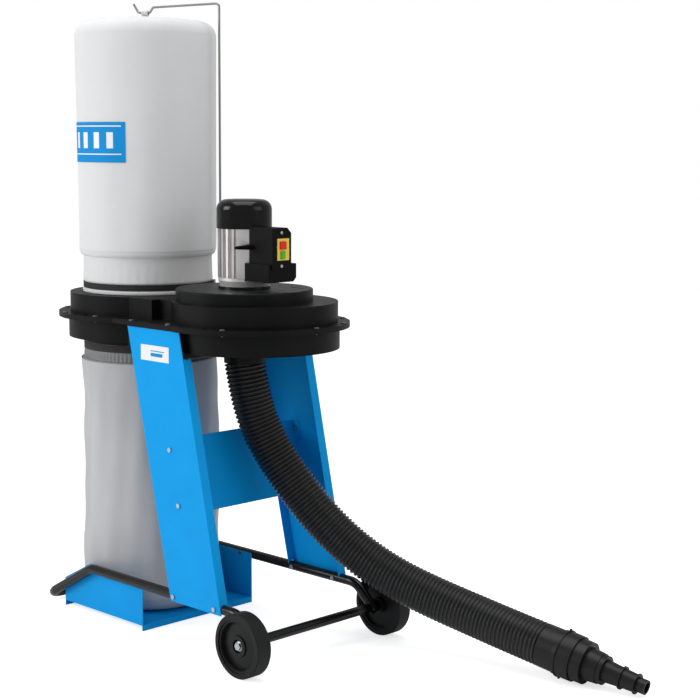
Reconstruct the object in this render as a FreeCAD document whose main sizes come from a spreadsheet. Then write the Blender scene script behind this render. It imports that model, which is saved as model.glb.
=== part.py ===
import FreeCAD, Part
import Sketcher
import math
import os
import re

# Dust collector: a fan housing on two sheet-metal legs, a filter bag above and a waste bag
# below its cyclone side, a motor on its fan side, a wheeled tube frame and a suction hose.
# Millimetres, +Z up. The origin is on the floor, under the middle of the machine.

Vector = FreeCAD.Vector
Rotation = FreeCAD.Rotation

SIZES = {
    # the two vertical axes and the housing between them
    "bag_x": -243.5,
    "motor_x": 143.5,
    "scroll_x": 163.5,
    "scroll_y": 17,
    "wall": 4,
    "floor_z": 744,
    "split_z": 804.5,
    "roof_z": 862,
    "rim_thick": 6.5,
    "cyclone_r": 207.5,
    "scroll_r": 210,
    "draft": 4.5,
    "cyclone_rim_r": 238,
    "scroll_rim_r": 240,
    "block_west": -116,
    "block_east": -24,
    "block_y": 164,
    "rim_front": 209,
    "rim_front_west": -143.5,
    "bridge_east": 60,
    "bridge_y": 140,
    "wing_west": -55.5,
    "wing_east": 166.5,
    "wing_y": 219,
    "wing_base_z": 732,
    "collar_r": 166.5,
    "collar_bore_r": 160,
    "collar_top": 893,
    "drop_r": 170,
    "drop_bore_r": 165,
    "drop_base": 704,
    "inlet_r": 52.5,
    "inlet_bore_r": 48.5,
    "inlet_base": 705,
    "rim_screw_r": 2,
    "rim_head_r": 6.5,
    "rim_head_tall": 2.4,
    "rim_margin": 9,
    "rim_rib_tall": 2,
    "rim_rib_wide": 7,
    "rim_rib_in": 14,
    "leg_screw_west": 9,
    "front_screw_east": 152,
    "front_screw_in": 6,
    "rear_screw_east": 110,
    "rear_screw_out": 9,
    "overlap": 0.5,
    "screw_gap": 0.2,
    # motor
    "plate_r": 173,
    "plate_top": 893.5,
    "plate_thick": 4,
    "plate_bore_r": 40,
    "plate_round": 4,
    "plate_hem": 5,
    "plate_hole_east": 12.8,
    "plate_hole_y": 109,
    "plate_hole_r": 4,
    "slot_west": 70,
    "slot_east": 110,
    "slot_south": 93,
    "slot_north": 101,
    "foot_r": 66,
    "foot_top": 900,
    "foot_bolt_r": 54,
    "bell_r": 66,
    "bell_top": 921,
    "bell_taper": 5,
    "bell_taper_tall": 14,
    "shell_r": 58.5,
    "shell_bore_r": 55,
    "shell_top": 1044,
    "fin_r": 67,
    "fin_thick": 6,
    "fin_step": 15,
    "fin_start": 53,
    "pad_start": -59.5,
    "pad_turn": 103,
    "cowl_r": 69.5,
    "cowl_wall": 2,
    "cowl_base": 1044,
    "cowl_top": 1116,
    "cowl_round": 25,
    "cowl_slots_r": 40,
    "cowl_slot_step": 7,
    "cowl_slot_wide": 3,
    "stator_bore_r": 33,
    "stator_base": 932,
    "stator_top": 1030,
    "shaft_r": 8,
    "shaft_base": 796,
    "shaft_top": 1072,
    "bearing_r": 17.5,
    "bearing_tall": 11,
    "bearing_gap": 0.03,
    "impeller_r": 145,
    "impeller_base": 806,
    "impeller_top": 868,
    "blade_thick": 3,
    "fan_r": 56,
    "fan_blade_r": 50,
    "fan_base": 1060,
    # switch
    "box_face": 284.5,
    "box_back": 189,
    "box_south": -35,
    "box_north": 28.5,
    "box_base": 961,
    "box_top": 1050,
    "base_back": 175,
    "base_face": 281,
    "base_south": -44,
    "base_north": 49,
    "base_low": 916,
    "box_wall": 3,
    "box_lip_base": 947.5,
    "box_lip_deep": 3.5,
    "box_bevel": 13,
    "box_back_bevel": 6,
    "switch_screw_y": -5,
    "switch_screw_r": 4,
    "switch_screw_high": 1038.5,
    "switch_screw_low": 956.5,
    "relief_long": 53,
    "relief_z": 1001,
    "capacitor_r": 14,
    "capacitor_long": 70,
    "capacitor_east": 92,
    "capacitor_south": -33,
    "base_bevel": 10,
    "badge_south": -19,
    "badge_north": 20,
    "badge_base": 970.5,
    "badge_top": 1024,
    "badge_thick": 1.5,
    "stop_y": -2,
    "stop_z": 1007,
    "stop_wide": 19,
    "stop_tall": 19,
    "start_y": -2.5,
    "start_z": 983,
    "start_wide": 12.5,
    "start_tall": 18,
    "button_proud": 4.5,
    "button_deep": 12,
    "button_gap": 0.4,
    # bags, straps and the rod that holds the filter bag up
    "filter_r": 185.5,
    "filter_neck_r": 171,
    "filter_skirt": 863,
    "filter_neck_top": 953,
    "filter_full_z": 978,
    "filter_shoulder": 1553,
    "filter_top": 1580,
    "skirt_gap": 0.3,
    "strap_thick": 1.4,
    "filter_strap_base": 874,
    "filter_strap_top": 890,
    "waste_r": 184,
    "waste_mouth_r": 171.7,
    "waste_mouth_top": 731,
    "waste_full_z": 682,
    "waste_low_z": 50,
    "waste_low_r": 150,
    "waste_strap_base": 711.5,
    "waste_strap_top": 730,
    "buckle_wide": 22,
    "buckle_tall": 16,
    "buckle_turn": 44,
    "waste_buckle_turn": 100,
    "film": 1.4,
    "felt": 3,
    "rod_r": 3,
    "rod_foot": 212,
    "rod_angle": 25,
    "rod_peak": 1613,
    "rod_high": 1607,
    "rod_low": 1594,
    "rod_tip": 1616.5,
    "loop_r": 6.5,
    "loop_wide": 18,
    "loop_thick": 2,
    # legs, tray and wheeled frame
    "leg_y": 217,
    "sheet": 2,
    "label_west": -1.5,
    "label_east": 107.5,
    "label_base": 718,
    "label_top": 757,
    "label_thick": 0.6,
    "leg_top": 798,
    "leg_base": 119,
    "leg_top_west": -55.5,
    "leg_top_east": 146,
    "leg_base_west": 106,
    "leg_base_east": 297,
    "leg_flange": 26,
    "flange_top": 731,
    "lean": 0.238,
    "cross_x": 107,
    "cross_mid_z": 450,
    "cross_base": 337,
    "cross_top": 523.7,
    "cross_tab": 28,
    "tray_west": -381.5,
    "tray_east": -43.5,
    "tray_y": 190,
    "tray_z": 14,
    "tray_wall": 137,
    "tray_low_wall": 78,
    "tray_slope_x": -267,
    "tray_bolt_east": -89.5,
    "tray_bolt_west": -225,
    "tube_r": 12.5,
    "tube_bore_r": 11,
    "tube_y": 202.5,
    "tube_z": 131,
    "handle_x": -448,
    "handle_z": 18,
    "tube_bend_west": -241.5,
    "tube_bend_east": 345,
    "handle_corner": 50,
    "axle_x": 403.5,
    "axle_z": 78,
    "axle_r": 8.5,
    "axle_end": 252.3,
    "axle_sleeve_r": 12,
    "wheel_r": 78,
    "tread": 13,
    "wheel_inner": 220,
    "wheel_outer": 263,
    "wheel_gap": 0.3,
    "hub_r": 16.5,
    "hub_bore_gap": 0.05,
    "bolt_r": 3,
    "bolt_head_r": 6,
    "bolt_head_tall": 3.5,
    # hose and its nozzle, measured along the nozzle's own axis from the hose's end
    "hose_r": 52.5,
    "hose_bore_r": 47.5,
    "cuff_long": 43,
    "nozzle_wall": 4,
    "ear_r": 62,
    "ear_wide": 9,
}

# The nozzle's outer steps: how far each reaches along the axis, its radius there and at its start.
NOZZLE_STEPS = {
    "sleeve": (54, 55, 54.5),
    "ring": (57, 58, 58),
    "socket": (92, 55.5, 56),
    "body": (120, 51, 51.5),
    "second": (154, 37, 40),
    "second_lip": (166, 35, 35.5),
    "third": (208, 23.5, 27),
    "third_lip": (212, 28, 28),
    "fourth": (246, 21.5, 23.5),
    "fourth_lip": (249, 25, 25),
    "tip": (272, 17.5, 17.5),
}
for step, (reach, radius, start_radius) in NOZZLE_STEPS.items():
    SIZES[step + "_end"] = reach
    SIZES[step + "_radius"] = radius
    SIZES[step + "_start"] = start_radius

# The hose's route from the inlet to its nozzle, lying on the floor at the far end.
HOSE_ROUTE = [
    (143.5, 0, 705),
    (156, 8, 608),
    (187, 32, 506),
    (244, 68, 405),
    (311, 105, 313),
    (393, 144, 236),
    (491, 186, 176),
    (595, 223, 138),
    (702, 250, 111),
    (804, 266, 90),
    (897.5, 279, 73),
]

doc = FreeCAD.newDocument("DustCollector")
dims = doc.addObject("Spreadsheet::Sheet", "Dims")
for row, (alias, size) in enumerate(SIZES.items(), start=1):
    dims.set("A%d" % row, alias)
    dims.set("B%d" % row, str(size))
    dims.setAlias("B%d" % row, alias)
doc.recompute()

WORD = re.compile(r"[A-Za-z_]+")
SPIN_Y = Rotation(Vector(1, 0, 0), -90)
SOUTHWARD = Rotation(Vector(1, 0, 0), 90)
SPIN_X = Rotation(Vector(0, 1, 0), 90)
UPRIGHT = Rotation()
TO_AXIS = {"z": UPRIGHT, "y": SPIN_Y, "x": SPIN_X}


def about_z(angle):
    return Rotation(Vector(0, 0, 1), angle)


def dim(alias):
    return float(dims.get(alias))


def formula(text):
    """Write the sheet's name before each of its words in a formula."""
    return WORD.sub(lambda word: "Dims." + word.group() if word.group() in SIZES else word.group(), str(text))


def bind(obj, prop, text):
    obj.setExpression(prop, formula(text))


def place(obj, at, turn=UPRIGHT):
    """Turn an object and tie its place to the sheet."""
    obj.Placement = FreeCAD.Placement(Vector(), turn)
    for letter, text in zip("xyz", at):
        bind(obj, "Placement.Base." + letter, text)


def cylinder(name, radius, height, at, axis="z"):
    obj = doc.addObject("Part::Cylinder", name)
    bind(obj, "Radius", radius)
    bind(obj, "Height", height)
    place(obj, at, TO_AXIS[axis])
    return obj


def box(name, low, high):
    """A box between two corners, each a triple of formulas."""
    obj = doc.addObject("Part::Box", name)
    for prop, start, end in zip(("Length", "Width", "Height"), low, high):
        bind(obj, prop, "(%s) - (%s)" % (end, start))
    place(obj, low)
    return obj


def fuse(name, parts):
    obj = doc.addObject("Part::MultiFuse", name)
    obj.Shapes = parts
    return obj


def common(name, parts):
    obj = doc.addObject("Part::MultiCommon", name)
    obj.Shapes = parts
    return obj


def cut(name, base, tools):
    obj = doc.addObject("Part::Cut", name)
    obj.Base = base
    obj.Tool = tools[0] if len(tools) == 1 else fuse(name + "_tools", tools)
    return obj


def tube(name, radius, bore, height, at, axis="z"):
    outer = cylinder(name + "_outer", radius, height, at, axis)
    return cut(name, outer, [cylinder(name + "_bore", bore, height, at, axis)])


def hexagon(name, across, height, at, axis="z"):
    obj = doc.addObject("Part::Prism", name)
    obj.Polygon = 6
    bind(obj, "Circumradius", "(%s) / cos(30)" % across)
    bind(obj, "Height", height)
    place(obj, at, TO_AXIS[axis])
    return obj


def origin_plane(body, role):
    return next(plane for plane in body.Origin.OriginFeatures if plane.Role == role)


def outline(body, role, points):
    """A closed sketch of straight lines whose corners are tied to the sheet's sizes."""
    sketch = body.newObject("Sketcher::SketchObject", body.Name + "_sketch")
    sketch.AttachmentSupport = (origin_plane(body, role), "")
    sketch.MapMode = "FlatFace"
    guess = [Vector(20 * math.cos(k * 0.3), 20 * math.sin(k * 0.3), 0) for k in range(len(points))]
    count = len(points)
    for k in range(count):
        sketch.addGeometry(Part.LineSegment(guess[k], guess[(k + 1) % count]), False)
    for k in range(count):
        sketch.addConstraint(Sketcher.Constraint("Coincident", k, 2, (k + 1) % count, 1))
    for k, (across, up) in enumerate(points):
        for kind, text, axis in (("DistanceX", across, -2), ("DistanceY", up, -1)):
            if text == "0":
                sketch.addConstraint(Sketcher.Constraint("PointOnObject", k, 1, axis))
                continue
            number = sketch.addConstraint(Sketcher.Constraint(kind, -1, 1, k, 1, 20.0))
            sketch.setExpression("Constraints[%d]" % number, formula(text))
    return sketch


def revolved(name, points, at=("0", "0", "0"), turn=UPRIGHT):
    """A body turned about its own Z axis from (radius, height) corners."""
    body = doc.addObject("PartDesign::Body", name)
    sketch = outline(body, "XZ_Plane", points)
    feature = body.newObject("PartDesign::Revolution", name + "_turned")
    feature.Profile = sketch
    feature.ReferenceAxis = (sketch, ["V_Axis"])
    feature.Angle = 360
    place(body, at, turn)
    return body


def padded(name, role, points, length, at=("0", "0", "0"), turn=UPRIGHT):
    """A flat body of one thickness, half on each side of its plane."""
    body = doc.addObject("PartDesign::Body", name)
    feature = body.newObject("PartDesign::Pad", name + "_pad")
    feature.Profile = outline(body, role, points)
    feature.Midplane = True
    bind(feature, "Length", length)
    place(body, at, turn)
    return body


def round_edges(body, radius, wanted):
    """Round the edges of a body's tip that the test picks."""
    doc.recompute()
    base = body.Tip
    names = ["Edge%d" % k for k, edge in enumerate(base.Shape.Edges, start=1) if wanted(edge)]
    fillet = body.newObject("PartDesign::Fillet", body.Name + "_round")
    fillet.Base = (base, names)
    bind(fillet, "Radius", radius)
    return fillet


def rounded_path(points, radii):
    """Straight runs joined by tangent arcs of the given radii."""
    edges = []
    start = points[0]
    for corner, radius, after in zip(points[1:-1], radii, points[2:]):
        back = (start - corner).normalize()
        ahead = (after - corner).normalize()
        half_turn = (math.pi - back.getAngle(ahead)) / 2
        reach = radius * math.tan(half_turn)
        enter = corner + back * reach
        leave = corner + ahead * reach
        bisector = (back + ahead).normalize()
        middle = corner + bisector * (radius / math.cos(half_turn) - radius)
        edges.append(Part.LineSegment(start, enter).toShape())
        edges.append(Part.Arc(enter, middle, leave).toShape())
        start = leave
    edges.append(Part.LineSegment(start, points[-1]).toShape())
    return Part.Wire(edges)


def swept_round(wire, radius):
    """A solid round bar along a wire that starts straight."""
    first = wire.Edges[0]
    start = first.valueAt(first.FirstParameter)
    circle = Part.Wire([Part.makeCircle(radius, start, first.tangentAt(first.FirstParameter))])
    return wire.makePipeShell([circle], True, False)


def drums(name, grow, low, high):
    """The outline of both drums and the duct between them, grown sideways by a formula."""
    tall = "(%s) - (%s)" % (high, low)
    side = "cyclone_r + (%s)" % grow
    return fuse(name, [
        cylinder(name + "_cyclone", side, tall, ("bag_x", "0", low)),
        cylinder(name + "_scroll", "scroll_r + (%s)" % grow, tall, ("scroll_x", "scroll_y", low)),
        box(name + "_block", ("block_west - (%s)" % grow, "-(block_y + (%s))" % grow, low),
            ("block_east + (%s)" % grow, "0", high)),
        box(name + "_bridge", ("block_west", "-(bridge_y + (%s))" % grow, low),
            ("bridge_east", side, high)),
        box(name + "_duct", ("bag_x", "0", low), ("scroll_x", side, high)),
    ])


def rim(name, low, high):
    """The flat joining rim round the drums, widened over the legs."""
    tall = "(%s) - (%s)" % (high, low)
    return fuse(name, [
        cylinder(name + "_cyclone", "cyclone_rim_r", tall, ("bag_x", "0", low)),
        cylinder(name + "_scroll", "scroll_rim_r", tall, ("scroll_x", "scroll_y", low)),
        box(name + "_front", ("rim_front_west", "-rim_front", low), ("wing_west", "0", high)),
        box(name + "_wing", ("wing_west", "-wing_y", low), ("wing_east", "wing_y", high)),
        box(name + "_duct", ("bag_x", "0", low), ("scroll_x", "cyclone_rim_r", high)),
    ])


def rim_screw_places():
    """Where the screws go through the rim: round both drums and two over each leg."""
    places = [
        ("leg_top_west + leg_screw_west", "-(leg_y - front_screw_in)"),
        ("leg_top_west + front_screw_east", "-(leg_y - front_screw_in)"),
        ("leg_top_west + leg_screw_west", "leg_y + rear_screw_out"),
        ("leg_top_west + rear_screw_east", "leg_y + rear_screw_out"),
    ]
    for x, y, rim_r, angles in (
        ("bag_x", "0", "cyclone_rim_r", (110, 145, 180, 215, 250, 285)),
        ("scroll_x", "scroll_y", "scroll_rim_r", (250, 298, -2, 30, 62, 88)),
    ):
        for angle in angles:
            places.append((
                "%s + (%s - rim_margin) * cos(%d)" % (x, rim_r, angle),
                "%s + (%s - rim_margin) * sin(%d)" % (y, rim_r, angle),
            ))
    return places


def rim_holes(name):
    return [
        cylinder("%s_%d" % (name, k), "rim_screw_r + screw_gap", "60", (x, y, "split_z - 20"))
        for k, (x, y) in enumerate(rim_screw_places())
    ]


def rim_ribs():
    """Short raised ribs on the rim, beside the drums."""
    ribs = []
    for k, (x, y, rim_r, angle, long) in enumerate((
        ("bag_x", "0", "cyclone_rim_r", 269, 56),
        ("scroll_x", "scroll_y", "scroll_rim_r", 277, 66),
        ("scroll_x", "scroll_y", "scroll_rim_r", 317, 76),
    )):
        out = "(%s - rim_rib_in - rim_rib_wide / 2)" % rim_r
        rib = doc.addObject("Part::Box", "rim_rib_%d" % k)
        bind(rib, "Length", "rim_rib_wide")
        bind(rib, "Width", long)
        bind(rib, "Height", "rim_rib_tall + overlap")
        place(rib, (
            "%s + %s * cos(%d) + %s * sin(%d)" % (x, out, angle, long / 2, angle),
            "%s + %s * sin(%d) - %s * cos(%d)" % (y, out, angle, long / 2, angle),
            "split_z + rim_thick - overlap",
        ), about_z(angle))
        ribs.append(rib)
    return ribs


def upper_housing():
    walls = drums("upper_walls", "0", "split_z", "roof_z")
    chamber = drums("upper_chamber", "-wall", "split_z - 1", "roof_z - wall")
    body = fuse("upper_solid", [
        walls,
        rim("upper_rim", "split_z", "split_z + rim_thick"),
    ] + rim_ribs())
    mouth = cylinder("upper_mouth", "collar_bore_r", "100", ("bag_x", "0", "roof_z - 20"))
    well = cylinder("upper_well", "plate_r - plate_hem", "40", ("motor_x", "0", "roof_z - 20"))
    return cut("upper_housing", body, [chamber, mouth, well] + rim_holes("upper_hole"))


def bag_collar():
    """The ring above the cyclone drum that the filter bag is clamped to."""
    tall = "collar_top - roof_z"
    return tube("bag_collar", "collar_r", "collar_bore_r", tall, ("bag_x", "0", "roof_z"))


def lower_housing():
    walls = drums("lower_walls", "draft", "floor_z", "split_z")
    chamber = drums("lower_chamber", "draft - wall", "floor_z + wall", "split_z + 1")
    wing_top = "leg_top - sheet"
    body = fuse("lower_solid", [
        walls,
        rim("lower_rim", "split_z - rim_thick", "split_z"),
        box("lower_wing", ("wing_west", "-(leg_y - sheet)", "wing_base_z"),
            ("leg_top_east", "leg_y - sheet", wing_top)),
    ])
    under = box("lower_under", ("wing_west + wall", "-(leg_y - sheet - wall)", "wing_base_z - 1"),
                ("leg_top_east - wall", "leg_y - sheet - wall", "floor_z"))
    drop = cylinder("lower_drop_bore", "drop_bore_r", "60", ("bag_x", "0", "floor_z - 20"))
    inlet = cylinder("lower_inlet_bore", "inlet_bore_r", "60", ("motor_x", "0", "floor_z - 20"))
    around = cylinder("lower_inlet_room", "inlet_r", "20", ("motor_x", "0", "floor_z - 20"))
    return cut("lower_housing", body, [chamber, under, drop, inlet, around] + rim_holes("lower_hole"))


def drop_collar():
    """The ring below the cyclone drum that the waste bag is strapped to."""
    tall = "floor_z - drop_base"
    return tube("drop_collar", "drop_r", "drop_bore_r", tall, ("bag_x", "0", "drop_base"))


def inlet_neck():
    tall = "floor_z - inlet_base"
    return tube("inlet_neck", "inlet_r", "inlet_bore_r", tall, ("motor_x", "0", "inlet_base"))


def housing_screws():
    """Small pan-head screws and their nuts, all alike."""
    pieces = []
    shank_base = "split_z - rim_thick - rim_head_tall"
    shank_tall = "2 * (rim_thick + rim_head_tall)"
    for k, (x, y) in enumerate(rim_screw_places()):
        head_at = (x, y, "split_z + rim_thick")
        pieces.append(cylinder("rim_shank_%d" % k, "rim_screw_r", shank_tall, (x, y, shank_base)))
        pieces.append(cylinder("rim_head_%d" % k, "rim_head_r", "rim_head_tall", head_at))
    return fuse("housing_screws", pieces)


def outer_rim_at(height, radius):
    """A test for the circle of a turned body at a height and an outer radius."""
    def wanted(edge):
        around = edge.BoundBox
        return abs(around.ZMin - height) < 0.1 and around.ZLength < 0.1 and around.XMax > radius - 0.1
    return wanted


def foot_bolt_places():
    return [
        ("motor_x + foot_bolt_r * cos(%d)" % angle, "foot_bolt_r * sin(%d)" % angle)
        for angle in (45, 135, 225, 315)
    ]


def motor_plate():
    body = revolved("plate_disc", [
        ("plate_bore_r", "plate_top - plate_thick - roof_z"),
        ("plate_r - plate_hem", "plate_top - plate_thick - roof_z"),
        ("plate_r - plate_hem", "0"),
        ("plate_r", "0"),
        ("plate_r", "plate_top - roof_z"),
        ("plate_bore_r", "plate_top - roof_z"),
    ], ("motor_x", "0", "roof_z"))
    rim_z = dim("plate_top") - dim("roof_z")
    round_edges(body, "plate_round", outer_rim_at(rim_z, dim("plate_r")))
    holes = [
        cylinder("plate_hole", "plate_hole_r", "20",
                 ("motor_x + plate_hole_east", "plate_hole_y", "plate_top - 10")),
        box("plate_slot", ("motor_x + slot_west", "slot_south", "plate_top - 10"),
            ("motor_x + slot_east", "slot_north", "plate_top + 10")),
    ]
    for k, (x, y) in enumerate(foot_bolt_places()):
        hole_at = (x, y, "plate_top - 20")
        holes.append(cylinder("plate_bolt_hole_%d" % k, "bolt_r + screw_gap", "40", hole_at))
    return cut("motor_plate", body, holes)


def motor_bolts():
    """Four bolts that hold the motor's foot to the plate from below."""
    pieces = []
    base = "plate_top - plate_thick"
    for k, (x, y) in enumerate(foot_bolt_places()):
        pieces.append(cylinder("motor_bolt_%d" % k, "bolt_r", "plate_thick + 5", (x, y, base)))
        pieces.append(cylinder("motor_bolt_head_%d" % k, "bolt_head_r - 1", "4", (x, y, base + " - 4")))
    return fuse("motor_bolts", pieces)


def motor_foot():
    disc = revolved("foot_disc", [
        ("bearing_r + 5", "0"), ("foot_r", "0"), ("foot_r", "foot_top - plate_top"),
        ("bearing_r + 5", "foot_top - plate_top"),
    ], ("motor_x", "0", "plate_top"))
    holes = [
        cylinder("foot_hole_%d" % k, "bolt_r + screw_gap", "5 + overlap", (x, y, "plate_top - overlap"))
        for k, (x, y) in enumerate(foot_bolt_places())
    ]
    return cut("motor_foot", disc, holes)


def motor_bell():
    """The silver end ring that carries the lower bearing."""
    return revolved("motor_bell", [
        ("shaft_r + 2", "0"), ("bell_r - bell_taper", "0"), ("bell_r", "bell_taper_tall"),
        ("bell_r", "bell_top - foot_top"),
        ("bearing_r", "bell_top - foot_top"), ("bearing_r", "bell_top - foot_top - bearing_tall"),
        ("shaft_r + 2", "bell_top - foot_top - bearing_tall"),
    ], ("motor_x", "0", "foot_top"))


def motor_shell():
    """The finned aluminium shell, with a smooth full-width pad beside the switch."""
    tall = "shell_top - bell_top"
    pad = cylinder("shell_pad", "fin_r", tall, ("motor_x", "0", "bell_top"))
    bind(pad, "Angle", "pad_turn")
    pad.Placement.Rotation = about_z(dim("pad_start"))
    pieces = [cylinder("shell_core", "shell_r", tall, ("motor_x", "0", "bell_top")), pad]
    for k in range(17):
        angle = "(fin_start + fin_step * %d)" % k
        fin = doc.addObject("Part::Box", "shell_fin_%d" % k)
        bind(fin, "Length", "fin_r - shell_r + 3")
        bind(fin, "Width", "fin_thick")
        bind(fin, "Height", tall)
        place(fin, (
            "motor_x + (shell_r - 3) * cos(%s) + fin_thick / 2 * sin(%s)" % (angle, angle),
            "(shell_r - 3) * sin(%s) - fin_thick / 2 * cos(%s)" % (angle, angle),
            "bell_top",
        ), about_z(dim("fin_start") + dim("fin_step") * k))
        pieces.append(fin)
    bore = cylinder("shell_bore", "shell_bore_r", "shell_top", ("motor_x", "0", "bell_top - 10"))
    return cut("motor_shell", fuse("shell_solid", pieces), [bore])


def stator():
    return tube("stator", "shell_bore_r", "stator_bore_r", "stator_top - stator_base",
                ("motor_x", "0", "stator_base"))


def motor_end():
    """The rear end shield with the upper bearing's seat."""
    return revolved("motor_end", [
        ("shaft_r + 2", "0"), ("shell_bore_r", "0"), ("shell_bore_r", "2"),
        ("cowl_r - cowl_wall", "2"), ("cowl_r - cowl_wall", "6"),
        ("bearing_r + 4", "6"), ("bearing_r + 4", "12"), ("bearing_r", "12"),
        ("bearing_r", "1"), ("shaft_r + 2", "1"),
    ], ("motor_x", "0", "shell_top - 2"))


def bearing(name, base):
    return tube(name, "bearing_r", "shaft_r + bearing_gap", "bearing_tall", ("motor_x", "0", base))


def cowl():
    """The glossy fan cover with a ring of air slots in its top."""
    shells = []
    for name, thin in (("outside", "0"), ("inside", "cowl_wall")):
        radius = "cowl_r - " + thin
        top = "cowl_top - cowl_base - " + thin
        body = revolved("cowl_" + name, [("0", "0"), (radius, "0"), (radius, top), ("0", top)],
                        ("motor_x", "0", "cowl_base"))
        wall = dim(thin) if thin in SIZES else 0
        high = dim("cowl_top") - dim("cowl_base") - wall
        round_edges(body, "cowl_round - " + thin, outer_rim_at(high, dim("cowl_r") - wall))
        shells.append(body)
    slots = []
    for k in range(-5, 6):
        middle = "motor_x + cowl_slot_step * %d" % k
        half = "sqrt(cowl_slots_r ^ 2 - (cowl_slot_step * %d) ^ 2)" % k
        slots.append(box("cowl_slot_%d" % (k + 5),
                         (middle + " - cowl_slot_wide / 2", "-" + half, "cowl_top - 5"),
                         (middle + " + cowl_slot_wide / 2", half, "cowl_top + 5")))
    return cut("fan_cover", shells[0], [shells[1]] + slots)


def rotor():
    shaft = cylinder("motor_shaft", "shaft_r", "shaft_top - shaft_base", ("motor_x", "0", "shaft_base"))
    core = tube("rotor_core", "stator_bore_r - 0.5", "shaft_r", "stator_top - stator_base - 4",
                ("motor_x", "0", "stator_base + 2"))
    nut_solid = hexagon("nut_solid", "12", "8", ("motor_x", "0", "impeller_base - 8"))
    nut_bore = cylinder("nut_bore", "shaft_r", "20", ("motor_x", "0", "impeller_base - 14"))
    nut = cut("impeller_nut", nut_solid, [nut_bore])
    return [shaft, core, nut]


def blades(name, count, start, end, thick, base, top):
    """Straight radial blades round the motor's axis."""
    made = []
    for k in range(count):
        angle = 360.0 / count * k
        blade = doc.addObject("Part::Box", "%s_%d" % (name, k))
        bind(blade, "Length", "(%s) - (%s)" % (end, start))
        bind(blade, "Width", thick)
        bind(blade, "Height", "(%s) - (%s)" % (top, base))
        x = "motor_x + (%s) * cos(%s)" % (start, angle)
        y = "(%s) * sin(%s)" % (start, angle)
        place(blade, (x, y, base), about_z(angle))
        made.append(blade)
    return made


def impeller():
    disc = cylinder("impeller_disc", "impeller_r", "3", ("motor_x", "0", "impeller_top - 3"))
    hub = cylinder("impeller_hub", "22", "impeller_top - impeller_base", ("motor_x", "0", "impeller_base"))
    vanes = blades("impeller_blade", 8, "20", "impeller_r", "blade_thick",
                   "impeller_base + 4", "impeller_top - 1")
    solid = fuse("impeller_solid", [disc, hub] + vanes)
    bore = cylinder("impeller_bore", "shaft_r", "100", ("motor_x", "0", "impeller_base - 10"))
    return cut("impeller", solid, [bore])


def cooling_fan():
    disc = cylinder("fan_disc", "fan_r", "2.5", ("motor_x", "0", "fan_base"))
    hub = cylinder("fan_hub", "14", "12", ("motor_x", "0", "fan_base"))
    vanes = blades("fan_blade", 9, "12", "fan_blade_r", "2", "fan_base + 1", "fan_base + 26")
    solid = fuse("fan_solid", [disc, hub] + vanes)
    bore = cylinder("fan_bore", "shaft_r", "60", ("motor_x", "0", "fan_base - 10"))
    return cut("cooling_fan", solid, [bore])


def switch_hole(name, piece, gap):
    """The space of a push button through the front of the switch."""
    wide = "%s_wide / 2 + %s" % (piece, gap)
    tall = "%s_tall / 2 + %s" % (piece, gap)
    low = ("box_face - button_deep", "%s_y - (%s)" % (piece, wide), "%s_z - (%s)" % (piece, tall))
    high = ("box_face + badge_thick + button_proud", "%s_y + %s" % (piece, wide), "%s_z + %s" % (piece, tall))
    return box(name, low, high)


def motor_space(name):
    """The motor's own round shape, which the switch is cut to fit."""
    return [
        cylinder(name + "_bell", "bell_r", "bell_top - foot_top", ("motor_x", "0", "foot_top")),
        cylinder(name + "_shell", "fin_r", "cowl_base - bell_top", ("motor_x", "0", "bell_top")),
        cylinder(name + "_cowl", "cowl_r", "cowl_top - cowl_base", ("motor_x", "0", "cowl_base")),
    ]


def switch_base():
    """The wide lower half of the switch, bevelled along its lower edges."""
    middle = "(base_south + base_north) / 2"
    side = padded("base_side", "XZ_Plane", [
        ("base_back", "base_low + base_bevel"), ("base_back + base_bevel", "base_low"),
        ("base_face", "base_low"), ("base_face", "box_base"), ("base_back", "box_base"),
    ], "base_north - base_south", ("0", middle, "0"))
    front = padded("base_front", "YZ_Plane", [
        ("base_south", "base_low"), ("base_north - base_bevel", "base_low"),
        ("base_north", "base_low + base_bevel"), ("base_north", "box_base"), ("base_south", "box_base"),
    ], "base_face - base_back", ("(base_back + base_face) / 2", "0", "0"))
    room = box("base_room", ("motor_x + bell_r + box_wall", "base_south + box_wall", "base_low + box_wall"),
               ("base_face - box_wall", "base_north - base_bevel - 1", "box_base - box_wall"))
    return cut("switch_base", common("base_block", [side, front]), [room] + motor_space("base_space"))


def switch_box():
    """The upper half of the switch, with bevelled top corners, button holes and a lip over the base."""
    middle = "(box_south + box_north) / 2"
    side = padded("box_side", "XZ_Plane", [
        ("box_back", "box_base"), ("box_face", "box_base"), ("box_face", "box_top"),
        ("box_back + box_back_bevel", "box_top"), ("box_back", "box_top - box_back_bevel"),
    ], "box_north - box_south", ("0", middle, "0"))
    front = padded("box_front", "YZ_Plane", [
        ("box_south", "box_base"), ("box_north", "box_base"), ("box_north", "box_top - box_bevel"),
        ("box_north - box_bevel", "box_top"), ("box_south", "box_top"),
    ], "box_face - box_back", ("(box_back + box_face) / 2", "0", "0"))
    lip = box("box_lip", ("box_face - box_lip_deep", "box_south", "box_lip_base"),
              ("box_face", "box_north - 4", "box_base"))
    room = box("box_room", ("motor_x + cowl_r + box_wall", "box_south + box_wall", "box_base + box_wall"),
               ("box_face - box_wall", "box_north - box_wall", "box_top - box_bevel - 1"))
    holes = [switch_hole("box_hole_" + piece, piece, "button_gap") for piece in ("start", "stop")]
    solid = fuse("box_solid", [common("box_block", [side, front]), lip])
    return cut("switch_box", solid, [room] + holes + motor_space("box_space"))


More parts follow.
